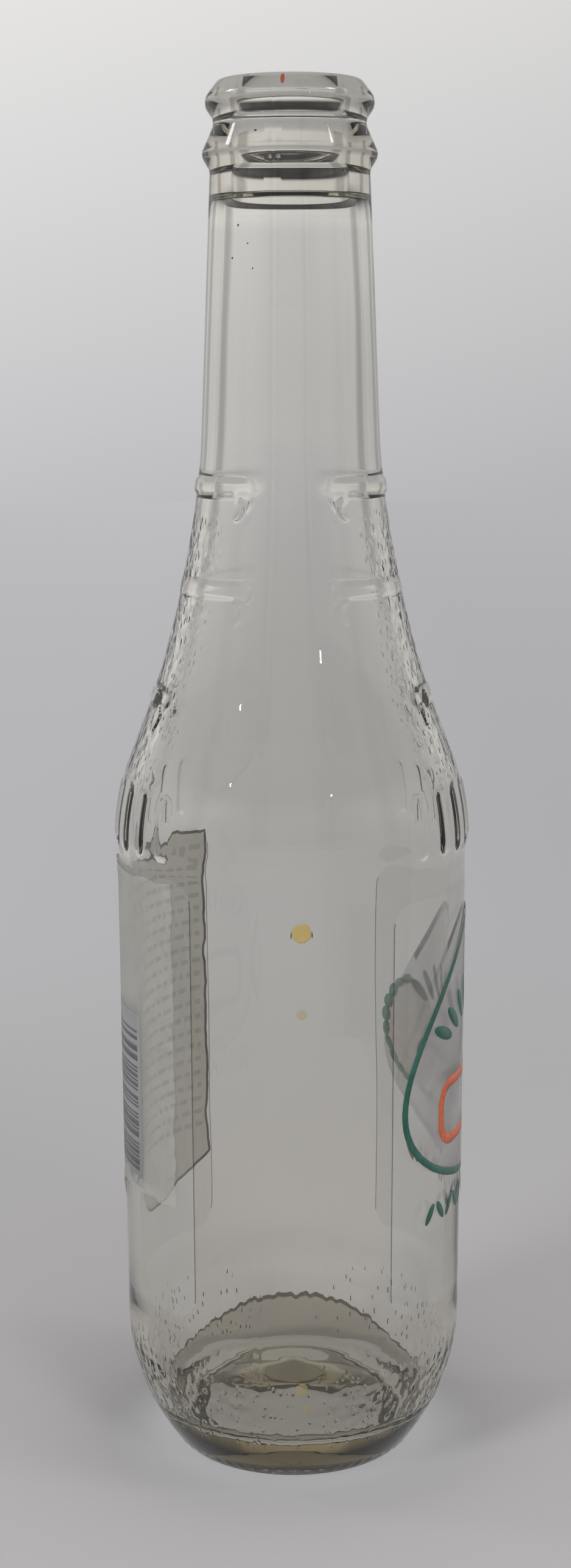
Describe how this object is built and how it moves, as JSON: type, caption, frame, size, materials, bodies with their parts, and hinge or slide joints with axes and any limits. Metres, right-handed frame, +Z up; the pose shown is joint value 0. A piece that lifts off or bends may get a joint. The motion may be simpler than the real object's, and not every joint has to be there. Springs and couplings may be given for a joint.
{
  "type": "soda bottle",
  "caption": "Empty clear glass long-neck bottle with a crown-cap finish, raised bands on the shoulder, a recessed panel with clear film labels, and a push-up base.",
  "frame": {"origin": "centre of the circle that the bottle stands on, at the lowest point of the base", "axes": "+Z up along the bottle's axis of turning, +X out of the front label, -Y out of the plain side"},
  "size_m": [0.0606, 0.0598, 0.23],
  "materials": {
    "clear_glass": "fire-polished clear flint glass",
    "printed_front_film": "clear film with a pale, green and orange print",
    "printed_back_film": "clear film with a grey-beige print"
  },
  "bodies": {
    "root": {"glass_bottle": "clear_glass", "front_label": "printed_front_film", "back_label": "printed_back_film"}
  },
  "joints": []
}
